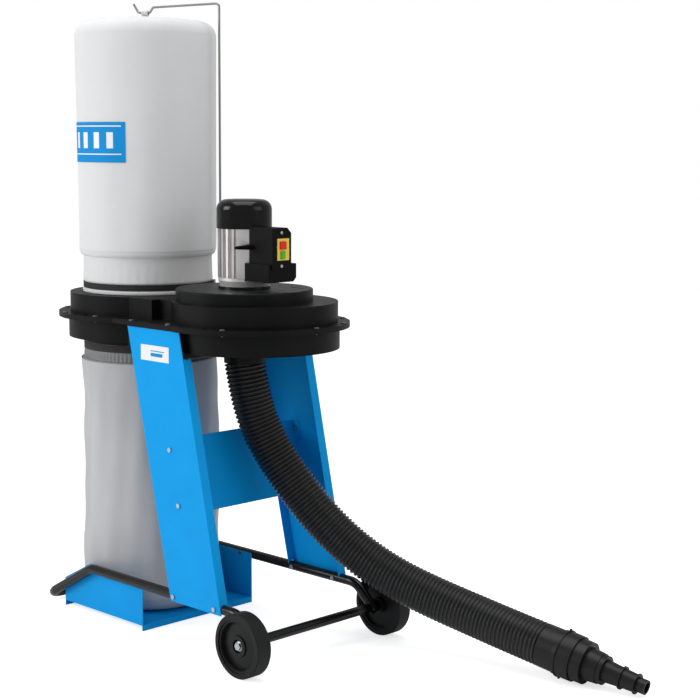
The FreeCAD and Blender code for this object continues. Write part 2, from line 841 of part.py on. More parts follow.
def switch_badge():
    plate = box("badge_plate", ("box_face", "badge_south", "badge_base"),
                ("box_face + badge_thick", "badge_north", "badge_top"))
    return cut("switch_badge", plate, [switch_hole("badge_hole_" + piece, piece, "button_gap")
                                       for piece in ("start", "stop")])


def switch_block():
    """The contact block behind the two buttons, held between the box's side walls."""
    return box("switch_block", ("box_face - button_deep - 16", "box_south + box_wall", "badge_base + 2"),
               ("box_face - button_deep - 4", "box_north - box_wall", "badge_top"))


def capacitor():
    at = ("motor_x + capacitor_east", "capacitor_south", "base_low + box_wall + capacitor_r")
    return cylinder("capacitor", "capacitor_r", "capacitor_long", at, "y")


def switch_screws():
    return fuse("switch_screws", [
        cylinder("switch_" + z, "switch_screw_r", "2", ("box_face", "switch_screw_y", z), "x")
        for z in ("switch_screw_high", "switch_screw_low")
    ])


def strain_relief():
    """The ribbed, tapered sleeve where the mains lead would enter."""
    corners = [("2.4", "0"), ("6.8", "0")]
    for k in range(6):
        start = 2 + 8 * k
        wide = 6.8 - 0.5 * k
        corners += [("%.2f" % (wide - 1.2), "%d" % start), ("%.2f" % wide, "%d" % (start + 2)),
                    ("%.2f" % wide, "%d" % (start + 6)), ("%.2f" % (wide - 1.2), "%d" % (start + 7))]
    corners += [("3.4", "relief_long"), ("2.4", "relief_long")]
    return revolved("strain_relief", corners, ("motor_x + fin_r - 1.5", "box_south", "relief_z"), SOUTHWARD)


def filter_bag():
    """The standing filter bag: a thin felt skin, clamped round the collar at its hem."""
    skin = revolved("filter_skin", [
        ("0", "collar_top"), ("collar_r + skirt_gap", "collar_top"),
        ("collar_r + skirt_gap", "filter_skirt"), ("filter_neck_r", "filter_skirt"),
        ("filter_neck_r", "filter_neck_top"), ("filter_r", "filter_full_z"), ("filter_r", "filter_shoulder"),
        ("filter_r - 14", "filter_shoulder + 14"), ("0", "filter_top"),
    ], ("bag_x", "0", "0"))
    inside = revolved("filter_inside", [
        ("0", "collar_top + felt"), ("filter_neck_r - felt", "collar_top + felt"),
        ("filter_neck_r - felt", "filter_neck_top"), ("filter_r - felt", "filter_full_z"),
        ("filter_r - felt", "filter_shoulder - 2"), ("filter_r - 14 - felt", "filter_shoulder + 14 - felt"),
        ("0", "filter_top - felt"),
    ], ("bag_x", "0", "0"))
    return cut("filter_bag", skin, [inside])


def waste_bag():
    """The clear waste bag: a thin film hanging from the lower collar down to the tray."""
    skin = revolved("waste_skin", [
        ("0", "drop_base"), ("drop_r + skirt_gap", "drop_base"), ("drop_r + skirt_gap", "waste_mouth_top"),
        ("waste_mouth_r", "waste_mouth_top"), ("waste_mouth_r", "drop_base"),
        ("waste_r", "waste_full_z"), ("waste_r", "waste_low_z"),
        ("waste_low_r", "tray_z + sheet"), ("0", "tray_z + sheet"),
    ], ("bag_x", "0", "0"))
    inside = revolved("waste_inside", [
        ("0", "drop_base - film"), ("drop_r", "drop_base - film"), ("waste_r - film", "waste_full_z - 1"),
        ("waste_r - film", "waste_low_z"), ("waste_low_r", "tray_z + sheet + film"),
        ("0", "tray_z + sheet + film"),
    ], ("bag_x", "0", "0"))
    return cut("waste_bag", skin, [inside])


def strap(name, mouth, base, top):
    return tube(name, mouth + " + strap_thick", mouth, "%s - %s" % (top, base), ("bag_x", "0", base))


def round_the_bag(obj, angle, out, along, up):
    """Place an object beside the bag: so far out, so far along the strap, at a height."""
    x = "bag_x + (%s) * cos(%s) - (%s) * sin(%s)" % (out, angle, along, angle)
    y = "(%s) * sin(%s) + (%s) * cos(%s)" % (out, angle, along, angle)
    place(obj, (x, y, up), about_z(dim(angle)))


def buckle(name, mouth, base, angle):
    """The fixed plate of a strap's toggle catch, with two ears for its lever's pin."""
    pieces = []
    for part, out, along, deep, wide, low, tall in (
        ("plate", "0", "-buckle_wide / 2 - 2", "3", "buckle_wide + 6", "0", "buckle_tall + 4"),
        ("ear_low", "2", "buckle_wide / 2 - 3", "5", "6", "0", "1.6"),
        ("ear_high", "2", "buckle_wide / 2 - 3", "5", "6", "buckle_tall + 2.4", "1.6"),
        ("pin", "4.7", "buckle_wide / 2 - 0.75", "1.5", "1.5", "1", "buckle_tall + 2"),
    ):
        piece = doc.addObject("Part::Box", "%s_%s" % (name, part))
        bind(piece, "Length", deep)
        bind(piece, "Width", wide)
        bind(piece, "Height", tall)
        outward = "%s + strap_thick + %s" % (mouth, out)
        round_the_bag(piece, angle, outward, along, "%s - 3 + %s" % (base, low))
        pieces.append(piece)
    return fuse(name, pieces)


def lever(name, mouth, base, angle):
    """A toggle lever that lies along the strap and swings out about its upright pin."""
    bar = doc.addObject("Part::Box", name + "_bar")
    bind(bar, "Length", "1.6")
    bind(bar, "Width", "buckle_wide - 2")
    bind(bar, "Height", "buckle_tall")
    round_the_bag(bar, angle, "%s + strap_thick + 5" % mouth, "-buckle_wide / 2", "%s - 1" % base)
    knuckle = doc.addObject("Part::Cylinder", name + "_knuckle")
    bind(knuckle, "Radius", "2.2")
    bind(knuckle, "Height", "buckle_tall")
    round_the_bag(knuckle, angle, "%s + strap_thick + 5.45" % mouth, "buckle_wide / 2", "%s - 1" % base)
    bore = doc.addObject("Part::Cylinder", name + "_bore")
    bind(bore, "Radius", "1.2")
    bind(bore, "Height", "buckle_tall + 4")
    round_the_bag(bore, angle, "%s + strap_thick + 5.45" % mouth, "buckle_wide / 2", "%s - 3" % base)
    return cut(name, fuse(name + "_solid", [bar, knuckle]), [bore])


def feature(name, shape):
    obj = doc.addObject("Part::Feature", name)
    obj.Shape = shape
    return obj


def rod_point(along, up):
    """A point in the rod's upright plane, so far from the bag's axis."""
    angle = math.radians(dim("rod_angle"))
    return Vector(dim("bag_x") + along * math.cos(angle), along * math.sin(angle), up)


def hanger_rod():
    foot, low = dim("rod_foot"), dim("rod_low")
    corners = [
        rod_point(foot, dim("roof_z")), rod_point(foot, dim("rod_peak")), rod_point(22, dim("rod_high")),
        rod_point(14, low), rod_point(-20, low), rod_point(-34, dim("rod_tip")),
    ]
    return feature("hanger_rod", swept_round(rounded_path(corners, [9, 8, 6, 8]), dim("rod_r")))


def rod_socket():
    foot = ("bag_x + rod_foot * cos(rod_angle)", "rod_foot * sin(rod_angle)", "roof_z")
    return tube("rod_socket", "rod_r + 5", "rod_r", "26", foot)


def bag_loop():
    """A short webbing loop sewn to the bag's top, which hangs on the rod."""
    west, south = "bag_x - loop_wide / 2 * cos(rod_angle)", "-loop_wide / 2 * sin(rod_angle)"
    along_rod = about_z(dim("rod_angle"))
    rings = []
    for name, radius in (("loop_outer", "loop_r"), ("loop_inner", "loop_r - loop_thick")):
        ring = doc.addObject("Part::Cylinder", name)
        bind(ring, "Radius", radius)
        bind(ring, "Height", "loop_wide")
        place(ring, (west, south, "rod_low + rod_r - loop_r + loop_thick"), along_rod * SPIN_X)
        rings.append(ring)
    stem = doc.addObject("Part::Box", "loop_stem")
    bind(stem, "Length", "loop_wide")
    bind(stem, "Width", "loop_thick")
    bind(stem, "Height", "rod_low + rod_r - 2 * loop_r + loop_thick - filter_top + 2")
    place(stem, (west, south, "filter_top - 2 * overlap"), along_rod)
    return cut("bag_loop", fuse("loop_solid", [rings[0], stem]), [rings[1]])


def leg_edge(which, height):
    """The leg's west or east edge at a height."""
    base, top = "leg_base_%s" % which, "leg_top_%s" % which
    return "%s + (%s - %s) * (%s - leg_base) / (leg_top - leg_base)" % (base, top, base, height)


def bolt_places():
    """The leg's bolts as (x, z): two into the cross plate and two into the tube."""
    return [
        ("cross_x - lean * (cross_top - 21 - cross_mid_z) + cross_tab / 2", "cross_top - 21"),
        ("cross_x - lean * (cross_base + 30 - cross_mid_z) + cross_tab / 2", "cross_base + 30"),
        ("leg_base_west + 10", "tube_z"),
        ("leg_base_east - 26", "tube_z"),
    ]


def leg(name, side):
    """A leaning sheet-metal channel whose two flanges point inward."""
    web = padded(name + "_web", "XZ_Plane", [
        ("leg_base_west", "leg_base"), ("leg_base_east", "leg_base"),
        ("leg_top_east", "leg_top"), ("leg_top_west", "leg_top"),
    ], "sheet", ("0", side + "(leg_y - sheet / 2)", "0"))
    pieces = [web]
    deep = "(leg_flange - sheet)"
    for which, sign in (("west", ""), ("east", "-")):
        low, high = leg_edge(which, "tube_z"), leg_edge(which, "flange_top")
        corners = [(low, "tube_z"), ("%s + %ssheet" % (low, sign), "tube_z"),
                   ("%s + %ssheet" % (high, sign), "flange_top"), (high, "flange_top")]
        pieces.append(padded(name + "_flange_" + which, "XZ_Plane", corners, deep,
                             ("0", "%s(leg_y - sheet - %s / 2)" % (side, deep), "0")))
    low_y, high_y = ("-(leg_y - sheet)", "-(leg_y - 18)") if side else ("leg_y", "leg_y + 18")
    pieces.append(box(name + "_tab", ("leg_top_west", low_y, "leg_top - sheet"),
                      ("leg_top_east", high_y, "leg_top")))
    holes = [cylinder("%s_tube_gap" % name, "tube_r + overlap", "400", ("0", side + "tube_y", "tube_z"), "x")]
    for k, (x, z) in enumerate(bolt_places()):
        hole_at = (x, side + "leg_y - 10", z)
        holes.append(cylinder("%s_hole_%d" % (name, k), "bolt_r + screw_gap", "20", hole_at, "y"))
    holes.append(cylinder(name + "_scroll_gap", "scroll_r + draft + 1", "leg_top - floor_z + 4",
                          ("scroll_x", "scroll_y", "floor_z - 2")))
    return cut(name, fuse(name + "_solid", pieces), holes + rim_holes(name + "_rim"))


def leg_bolts():
    """The eight bolts through the legs, all alike: a round head outside and a nut inside."""
    pieces = []
    for side, inward in (("-", 1), ("", -1)):
        for k, (x, z) in enumerate(bolt_places()):
            name = "leg_bolt_%s_%d" % ("front" if side else "rear", k)
            grip = "sheet * 2" if k < 2 else "sheet + 2 * tube_r"
            head = side + "leg_y" + (" - bolt_head_tall" if side else "")
            shank = side + "leg_y" if side else "leg_y - (%s + 6)" % grip
            nut = "-leg_y + %s" % grip if side else "leg_y - (%s) - 4" % grip
            pieces += [cylinder(name, "bolt_r", grip + " + 6", (x, shank, z), "y"),
                       cylinder(name + "_head", "bolt_head_r", "bolt_head_tall", (x, head, z), "y"),
                       hexagon(name + "_nut", "5", "4", (x, nut, z), "y")]
    return fuse("leg_bolts", pieces)


def leg_label():
    return box("leg_label", ("label_west", "-leg_y - label_thick", "label_base"),
               ("label_east", "-leg_y", "label_top"))


def cross_plate():
    """The plate between the legs, leaning with them, with a tab at each end."""
    def x_at(height):
        return "cross_x - lean * (%s - cross_mid_z)" % height

    def slanted(name, wide, length, middle):
        corners = [(x_at("cross_base"), "cross_base"), ("%s + %s" % (x_at("cross_base"), wide), "cross_base"),
                   ("%s + %s" % (x_at("cross_top"), wide), "cross_top"), (x_at("cross_top"), "cross_top")]
        return padded(name, "XZ_Plane", corners, length, ("0", middle, "0"))

    span = "leg_y - sheet"
    pieces = [
        slanted("cross_sheet", "sheet", "2 * (%s)" % span, "0"),
        slanted("cross_tab_front", "cross_tab", "sheet", "-(%s - sheet / 2)" % span),
        slanted("cross_tab_rear", "cross_tab", "sheet", "%s - sheet / 2" % span),
    ]
    holes = []
    for k, (x, z) in enumerate(bolt_places()[:2]):
        holes.append(cylinder("cross_hole_%d" % k, "bolt_r + screw_gap", "2 * leg_y", (x, "-leg_y", z), "y"))
    return cut("cross_plate", fuse("cross_solid", pieces), holes)


TRAY_BOLTS = ("tray_bolt_east", "tray_bolt_west")


def base_tray():
    """The tray the waste bag stands in: floor, two feet-lips and two sloping side walls."""
    pieces = [box("tray_floor", ("tray_west", "-tray_y", "tray_z"),
                  ("tray_east", "tray_y", "tray_z + sheet"))]
    for name, start in (("west", "tray_west"), ("east", "tray_east - sheet")):
        end = start + " + sheet"
        pieces.append(box("tray_lip_" + name, (start, "-tray_y", "0"), (end, "tray_y", "tray_z")))
    for name, side in (("front", "-"), ("rear", "")):
        pieces.append(padded("tray_side_" + name, "XZ_Plane", [
            ("tray_west", "tray_z"), ("tray_east", "tray_z"), ("tray_east", "tray_wall"),
            ("tray_slope_x", "tray_wall"), ("tray_west", "tray_low_wall"),
        ], "sheet", ("0", side + "(tray_y - sheet / 2)", "0")))
    holes = [
        cylinder(x + "_hole", "bolt_r + screw_gap", "3 * tray_y", (x, "-1.5 * tray_y", "tube_z"), "y")
        for x in TRAY_BOLTS
    ]
    return cut("base_tray", fuse("tray_solid", pieces), holes)


def tray_bolts():
    """Four bolts from inside the tray into the tube."""
    pieces = []
    for side in ("-", ""):
        for x in TRAY_BOLTS:
            name = "%s_%s" % (x, "front" if side else "rear")
            shank = "-(tray_y + 6)" if side else "tray_y - sheet"
            head = "-(tray_y - sheet)" if side else "tray_y - sheet - 3"
            pieces += [cylinder(name, "bolt_r", "sheet + 6", (x, shank, "tube_z"), "y"),
                       cylinder(name + "_head", "bolt_head_r - 1", "3", (x, head, "tube_z"), "y")]
    return fuse("tray_bolts", pieces)


def frame_path():
    """Both side tubes and the handle: from one axle end round to the other."""
    y, z = dim("tube_y"), dim("tube_z")
    axle = Vector(dim("axle_x"), y, dim("axle_z"))
    bend = Vector(dim("tube_bend_east"), y, z)
    beyond = axle + (axle - bend).normalize() * 13
    half = [beyond, bend, Vector(dim("tube_bend_west"), y, z), Vector(dim("handle_x"), y, dim("handle_z"))]
    other = [Vector(point.x, -point.y, point.z) for point in reversed(half)]
    return rounded_path(half + other, [60, 60, dim("handle_corner"), dim("handle_corner"), 60, 60])


def tube_frame():
    outer = feature("frame_outer", swept_round(frame_path(), dim("tube_r")))
    inner = feature("frame_inner", swept_round(frame_path(), dim("tube_bore_r")))
    holes = [cylinder("frame_axle_hole", "axle_r", "2 * leg_y", ("axle_x", "-leg_y", "axle_z"), "y")]
    for k, (x, z) in enumerate(bolt_places()[2:]):
        holes.append(cylinder("frame_hole_%d" % k, "bolt_r", "2 * leg_y", (x, "-leg_y", z), "y"))
    for x in TRAY_BOLTS:
        hole_at = (x, "-tray_y - 6", "tube_z")
        holes.append(cylinder(x + "_frame_hole", "bolt_r", "2 * (tray_y + 6)", hole_at, "y"))
    return cut("tube_frame", outer, [inner] + holes)


def axle():
    """A steel bar through both wheels, inside a wider tube that fills the space between the side tubes."""
    inner = "(tube_y - tube_r)"
    return fuse("axle", [
        cylinder("axle_bar", "axle_r", "2 * axle_end", ("axle_x", "-axle_end", "axle_z"), "y"),
        cylinder("axle_sleeve", "axle_sleeve_r", "2 * " + inner, ("axle_x", "-" + inner, "axle_z"), "y"),
    ])


def both_sides(name, make):
    """The same piece at each end of the axle, facing outward."""
    return fuse(name, make("front", SOUTHWARD, "-") + make("rear", SPIN_Y, ""))


def wheel_spacers():
    def make(end, turn, side):
        long = "wheel_inner - wheel_gap - tube_y - tube_r"
        ring = revolved("spacer_" + end, [
            ("axle_r", "0"), ("axle_r + 5", "0"), ("axle_r + 5", long), ("axle_r", long),
        ], ("axle_x", side + "(tube_y + tube_r)", "axle_z"), turn)
        return [ring]
    return both_sides("wheel_spacers", make)


def wheel_bolts():
    def make(end, turn, side):
        washer = revolved("washer_" + end, [("0", "0"), ("12", "0"), ("12", "1.5"), ("0", "1.5")],
                          ("axle_x", side + "axle_end", "axle_z"), turn)
        head = doc.addObject("Part::Prism", "wheel_bolt_head_" + end)
        head.Polygon = 6
        bind(head, "Circumradius", "8.5 / cos(30)")
        bind(head, "Height", "6")
        place(head, ("axle_x", side + "(axle_end + 1.5)", "axle_z"), turn)
        return [washer, head]
    return both_sides("wheel_bolts", make)


def wheel(end, turn, side):
    """A hard tyre on a dished plastic hub that runs on the axle."""
    at = ("axle_x", side + "wheel_inner", "axle_z")
    wide = "wheel_outer - wheel_inner"
    tyre = revolved("tyre_" + end, [
        ("wheel_r - tread", "0"), ("wheel_r - 3", "0"), ("wheel_r", "3"), ("wheel_r", wide + " - 3"),
        ("wheel_r - 3", wide), ("wheel_r - tread", wide),
    ], at, turn)
    rim_r = "wheel_r - tread"
    hub = revolved("hub_" + end, [
        ("axle_r + hub_bore_gap", "0"), ("20", "0"), ("20", "12"),
        (rim_r + " - 6", "12"), (rim_r + " - 6", "3"), (rim_r, "3"), (rim_r, "40"),
        (rim_r + " - 6", "40"), (rim_r + " - 8", "30"), ("27", "35"), ("26", "39"),
        ("hub_r", "39"), ("hub_r", "32"), ("axle_r + hub_bore_gap", "32"),
    ], at, turn)
    return [tyre, hub]


def nozzle_turn():
    """The nozzle carries on straight from the hose's last run."""
    before, end = (Vector(*point) for point in HOSE_ROUTE[-2:])
    return Rotation(Vector(0, 0, 1), end - before)


def nozzle():
    corners = [("hose_r - nozzle_wall", "cuff_long")]
    reached = "cuff_long"
    for step in NOZZLE_STEPS:
        corners += [(step + "_start", reached), (step + "_radius", step + "_end")]
        reached = step + "_end"
    inner = [("tip_radius - nozzle_wall", "tip_end"), ("tip_radius - nozzle_wall", "fourth_end"),
             ("fourth_radius - nozzle_wall", "fourth_end"),
             ("third_radius - nozzle_wall", "second_lip_end - nozzle_wall"),
             ("second_lip_radius - nozzle_wall", "second_lip_end - nozzle_wall"),
             ("second_lip_radius - nozzle_wall", "body_end - nozzle_wall"),
             ("hose_r - nozzle_wall - 2", "body_end - nozzle_wall")]
    end = [str(value) for value in HOSE_ROUTE[-1]]
    pieces = [revolved("nozzle_steps", corners + inner, end, nozzle_turn())]
    for name, side in (("upper_ear", "-"), ("lower_ear", "")):
        low, high = side + "(ring_radius - 2)", side + "ear_r"
        face = [(low, "sleeve_end"), (high, "sleeve_end"), (high, "ring_end"), (low, "ring_end")]
        pieces.append(padded(name, "XZ_Plane", face, "ear_wide", end, nozzle_turn()))
    return fuse("nozzle", pieces)


def hose_cuff():
    end = [str(value) for value in HOSE_ROUTE[-1]]
    return revolved("hose_cuff", [
        ("hose_bore_r", "0"), ("hose_r", "0"), ("hose_r", "cuff_long"), ("hose_bore_r", "cuff_long"),
    ], end, nozzle_turn())


def hose():
    """The hose lies in gentle bends; each bend is as wide as its two runs allow."""
    points = [Vector(*point) for point in HOSE_ROUTE]
    radii = []
    for before, corner, after in zip(points, points[1:], points[2:]):
        first, second = corner - before, after - corner
        half_turn = first.getAngle(second) / 2
        radii.append(0.45 * min(first.Length, second.Length) / math.tan(half_turn))
    print("hose bend radii", [round(radius) for radius in radii])
    wire = rounded_path(points, radii)
    solid = swept_round(wire, dim("hose_r"))
    print("hose length", round(wire.Length), "volume over section times length",
          round(solid.Volume / (math.pi * dim("hose_r") ** 2 * wire.Length), 4))
    return feature("hose", solid)


subparts = [
    upper_housing(), bag_collar(), lower_housing(), drop_collar(), inlet_neck(), housing_screws(),
    motor_plate(), motor_bolts(), motor_foot(), motor_bell(), motor_shell(), stator(), motor_end(),
    bearing("lower_bearing", "bell_top - bearing_tall"),
    bearing("upper_bearing", "shell_top - 1"), cowl(), impeller(), cooling_fan(), switch_base(), switch_box(),
    switch_badge(), switch_block(), capacitor(), switch_hole("start_button", "start", "0"),
    switch_hole("stop_button", "stop", "0"), switch_screws(), strain_relief(), filter_bag(), waste_bag(),
    hanger_rod(), rod_socket(), bag_loop(),
    leg("leg_front", "-"), leg("leg_rear", ""), leg_bolts(), leg_label(),
    cross_plate(), base_tray(), tray_bolts(), tube_frame(), axle(), wheel_spacers(), wheel_bolts(), nozzle(),
    hose_cuff(), hose(),
]
subparts += rotor()
subparts += wheel("front", SOUTHWARD, "-")
subparts += wheel("rear", SPIN_Y, "")
for bag, mouth, base, top, angle in (
    ("filter", "filter_neck_r", "filter_strap_base", "filter_strap_top", "buckle_turn"),
    ("waste", "waste_mouth_r", "waste_strap_base", "waste_strap_top", "waste_buckle_turn"),
):
    subparts.append(strap(bag + "_strap", mouth, base, top))
    subparts.append(buckle(bag + "_buckle", mouth, base, angle))
    subparts.append(lever(bag + "_lever", mouth, base, angle))

doc.recompute()
for obj in doc.Objects:
    if "Invalid" in obj.State or "Error" in obj.State:
        raise RuntimeError("%s did not build: %s" % (obj.Name, obj.State))
os.makedirs("parts", exist_ok=True)
for obj in subparts:
    if obj.Shape.isNull() or not obj.Shape.isValid():
        raise RuntimeError("%s has no valid shape" % obj.Label)
    obj.Shape.exportStep("parts/%s.step" % obj.Label)
print(len(subparts), "sub-parts")
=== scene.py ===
import math

import bpy
from mathutils import Matrix, Vector


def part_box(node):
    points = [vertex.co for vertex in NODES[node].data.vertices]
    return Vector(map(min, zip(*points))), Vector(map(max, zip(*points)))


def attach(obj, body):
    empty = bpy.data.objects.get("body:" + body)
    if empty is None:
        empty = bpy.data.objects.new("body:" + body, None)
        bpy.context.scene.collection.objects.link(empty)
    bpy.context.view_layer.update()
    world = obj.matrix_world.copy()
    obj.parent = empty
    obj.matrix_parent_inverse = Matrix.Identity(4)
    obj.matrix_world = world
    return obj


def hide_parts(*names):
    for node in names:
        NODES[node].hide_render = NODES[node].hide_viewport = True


# Looks of a wheeled dust collector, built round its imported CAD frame. Metres, +Z up.

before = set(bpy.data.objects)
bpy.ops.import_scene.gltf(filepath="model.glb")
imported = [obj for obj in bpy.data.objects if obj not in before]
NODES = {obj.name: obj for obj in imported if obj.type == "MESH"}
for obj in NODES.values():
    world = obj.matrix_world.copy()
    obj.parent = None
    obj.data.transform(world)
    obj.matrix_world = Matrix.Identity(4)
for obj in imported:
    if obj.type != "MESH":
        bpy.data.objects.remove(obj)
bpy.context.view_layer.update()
BODY = "machine"


# ---------------------------------------------------------------- places read from the frame
def middle(node):
    low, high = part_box(node)
    return Vector([(a + b) / 2 for a, b in zip(low, high)])


def half_width(node):
    low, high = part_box(node)
    return (high[0] - low[0]) / 2


BAG_AXIS = middle("filter_bag")
LOW_BAG, TOP_BAG = (box[2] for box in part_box("filter_bag"))
LOW_SACK, TOP_SACK = (box[2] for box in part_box("waste_bag"))
BAG_R = half_width("filter_bag")
SACK_R = half_width("waste_bag")
STRAP_THICK = 0.0016

# The hose's route, the same points as the CAD's, in metres.
HOSE_ROUTE = [
    (0.1435, 0, 0.705),
    (0.156, 0.008, 0.608),
    (0.187, 0.032, 0.506),
    (0.244, 0.068, 0.405),
    (0.311, 0.105, 0.313),
    (0.393, 0.144, 0.236),
    (0.491, 0.186, 0.176),
    (0.595, 0.223, 0.138),
    (0.702, 0.250, 0.111),
    (0.804, 0.266, 0.090),
    (0.8975, 0.279, 0.073),
]
HOSE_WIDE = 0.105
RIB_PITCH = 0.0108
RIB_DEPTH = 0.0055
RIB_STEPS = 8
HOSE_COLUMNS = 64


# ---------------------------------------------------------------- camera
AZIMUTH, PITCH, ROLL = (math.radians(angle) for angle in (44.42, 7.44, 0.28))
CAMERA_PLACE = (3.1243, -2.6609, 1.2574)
level = Vector((math.cos(AZIMUTH), math.sin(AZIMUTH), 0))
back = Vector((math.sin(AZIMUTH) * math.cos(PITCH), -math.cos(AZIMUTH) * math.cos(PITCH), math.sin(PITCH)))
upward = back.cross(level)
right = level * math.cos(ROLL) + upward * math.sin(ROLL)
upward = back.cross(right)
lens = bpy.data.cameras.new("view")
lens.lens = 81.65
lens.sensor_width = 36
lens.clip_end = 60
camera = bpy.data.objects.new("view", lens)
bpy.context.scene.collection.objects.link(camera)
turn = Matrix((right, upward, back)).transposed().to_4x4()
camera.matrix_world = Matrix.Translation(CAMERA_PLACE) @ turn
bpy.context.scene.camera = camera


# ---------------------------------------------------------------- materials
class Nodes:
    """A small wrapper that makes and links shader nodes."""

    def __init__(self, name):
        self.material = bpy.data.materials.new(name)
        self.material.use_nodes = True
        self.tree = self.material.node_tree
        self.shader = self.tree.nodes["Principled BSDF"]
        self.place = self.make("ShaderNodeTexCoord").outputs["Object"]

    def make(self, kind, **settings):
        node = self.tree.nodes.new(kind)
        for name, value in settings.items():
            setattr(node, name, value)
        return node

    def link(self, source, target):
        self.tree.links.new(source, target)

    def noise(self, scale, detail=4, rough=0.55, stretch=(1, 1, 1)):
        mapping = self.make("ShaderNodeMapping")
        mapping.inputs["Scale"].default_value = stretch
        self.link(self.place, mapping.inputs["Vector"])
        noise = self.make("ShaderNodeTexNoise")
        noise.inputs["Scale"].default_value = scale
        noise.inputs["Detail"].default_value = detail
        noise.inputs["Roughness"].default_value = rough
        self.link(mapping.outputs["Vector"], noise.inputs["Vector"])
        return noise.outputs["Fac"]

    def wave(self, scale, direction):
        wave = self.make("ShaderNodeTexWave", bands_direction=direction)
        wave.inputs["Scale"].default_value = scale
        wave.inputs["Distortion"].default_value = 0.0
        self.link(self.place, wave.inputs["Vector"])
        return wave.outputs["Fac"]

    def ramp(self, source, low, high, start=0.3, end=0.7):
        ramp = self.make("ShaderNodeValToRGB")
        ramp.color_ramp.elements[0].position = start
        ramp.color_ramp.elements[1].position = end
        ramp.color_ramp.elements[0].color = (*low, 1)
        ramp.color_ramp.elements[1].color = (*high, 1)
        self.link(source, ramp.inputs["Fac"])
        return ramp.outputs["Color"]

    def spread(self, source, low, high):
        """Map a 0 to 1 value onto a range."""
        span = self.make("ShaderNodeMapRange")
        span.inputs["To Min"].default_value = low
        span.inputs["To Max"].default_value = high
        self.link(source, span.inputs["Value"])
        return span.outputs["Result"]

    def bumps(self, layers):
        """Stack bump layers of (height source, strength, depth in metres)."""
        normal = None
        for source, strength, depth in layers:
            bump = self.make("ShaderNodeBump")
            bump.inputs["Strength"].default_value = strength
            bump.inputs["Distance"].default_value = depth
            self.link(source, bump.inputs["Height"])
            if normal is not None:
                self.link(normal, bump.inputs["Normal"])
            normal = bump.outputs["Normal"]
        self.link(normal, self.shader.inputs["Normal"])

    def set(self, **values):
        for name, value in values.items():
            self.shader.inputs[name.replace("_", " ")].default_value = value


def shade(color, factor):
    return tuple(min(1, channel * factor) for channel in color)


def moulded(name, color, rough, grain=900, depth=0.00015, metallic=0.0, gloss=0.5, vary=0.25):
    """A solid finish with a fine grain, soft patches of tone and uneven gloss."""
    made = Nodes(name)
    patches = made.noise(9, detail=3)
    tones = made.ramp(patches, shade(color, 1 - vary), shade(color, 1 + vary))
    made.link(tones, made.shader.inputs["Base Color"])
    made.link(made.spread(made.noise(45), rough - 0.06, rough + 0.08), made.shader.inputs["Roughness"])
    made.bumps([(made.noise(grain, detail=2), 0.35, depth), (made.noise(30), 0.05, 0.0008)])
    made.set(Metallic=metallic, Specular_IOR_Level=gloss)
    return made.material


def turned_metal(name, color, rough, stretch, metallic=1.0):
    """Bare metal with fine drawn lines along its long way."""
    made = Nodes(name)
    tones = made.ramp(made.noise(14), shade(color, 0.88), shade(color, 1.08))
    made.link(tones, made.shader.inputs["Base Color"])
    lines = made.noise(260, detail=5, stretch=stretch)
    made.link(made.spread(lines, rough - 0.08, rough + 0.12), made.shader.inputs["Roughness"])
    made.bumps([(lines, 0.15, 0.0001)])
    made.set(Metallic=metallic)
    return made.material


def felt(name, color):
    """Needle felt: a short pile, loose fibres and a faint cloudiness."""
    made = Nodes(name)
    cloud = made.noise(7, detail=5)
    made.link(made.ramp(cloud, shade(color, 0.955), color), made.shader.inputs["Base Color"])
    made.bumps([
        (made.noise(1500, detail=4, rough=0.7), 0.35, 0.0004),
        (made.noise(240, detail=5, stretch=(1, 1, 0.25)), 0.18, 0.0007),
        (made.noise(18), 0.08, 0.002),
    ])
    made.link(made.spread(made.noise(120), 0.85, 0.97), made.shader.inputs["Roughness"])
    made.set(Sheen_Weight=0.15, Sheen_Roughness=0.5, Specular_IOR_Level=0.2)
    return made.material


def film(name, color):
    """Polythene film: milky and softly glossy, creased upright, with painted shade darkening the gathered
    band under the strap.
    """
    made = Nodes(name)
    cloud = made.noise(6, detail=6, stretch=(1, 1, 0.35))
    body = made.ramp(cloud, shade(color, 0.86), shade(color, 1.06))
    height = made.make("ShaderNodeSeparateXYZ")
    made.link(made.place, height.inputs["Vector"])
    # Painted shade: the pleated top band around and just below the strap is darkened to 0.45 of the film's
    # colour.
    painted_pleat_shade = made.make("ShaderNodeMapRange")
    painted_pleat_shade.inputs["From Min"].default_value = TOP_SACK - 0.050
    painted_pleat_shade.inputs["From Max"].default_value = TOP_SACK - 0.044
    made.link(height.outputs["Z"], painted_pleat_shade.inputs["Value"])
    blend = made.make("ShaderNodeMix", data_type="RGBA")
    made.link(painted_pleat_shade.outputs["Result"], blend.inputs["Factor"])
    made.link(body, blend.inputs["A"])
    blend.inputs["B"].default_value = (*shade(color, 0.45), 1)
    made.link(blend.outputs["Result"], made.shader.inputs["Base Color"])
    creases = made.noise(26, detail=8, rough=0.65, stretch=(1, 1, 0.12))
    crinkle = made.noise(60, detail=6, rough=0.6)
    made.bumps([(creases, 0.32, 0.004), (crinkle, 0.2, 0.0012)])
    made.link(made.spread(cloud, 0.3, 0.46), made.shader.inputs["Roughness"])
    made.set(IOR=1.45, Specular_IOR_Level=0.4, Coat_Weight=0.1, Coat_Roughness=0.25)
    return made.material


def webbing(name, color):
    """A woven strap: ribs across and a fine grain of threads."""
    made = Nodes(name)
    ribs = made.wave(330, "Z")
    threads = made.noise(1400, detail=3)
    made.link(made.ramp(ribs, shade(color, 0.6), shade(color, 1.8)), made.shader.inputs["Base Color"])
    made.bumps([(ribs, 0.5, 0.0004), (threads, 0.25, 0.0002)])
    made.link(made.spread(threads, 0.55, 0.75), made.shader.inputs["Roughness"])
    return made.material


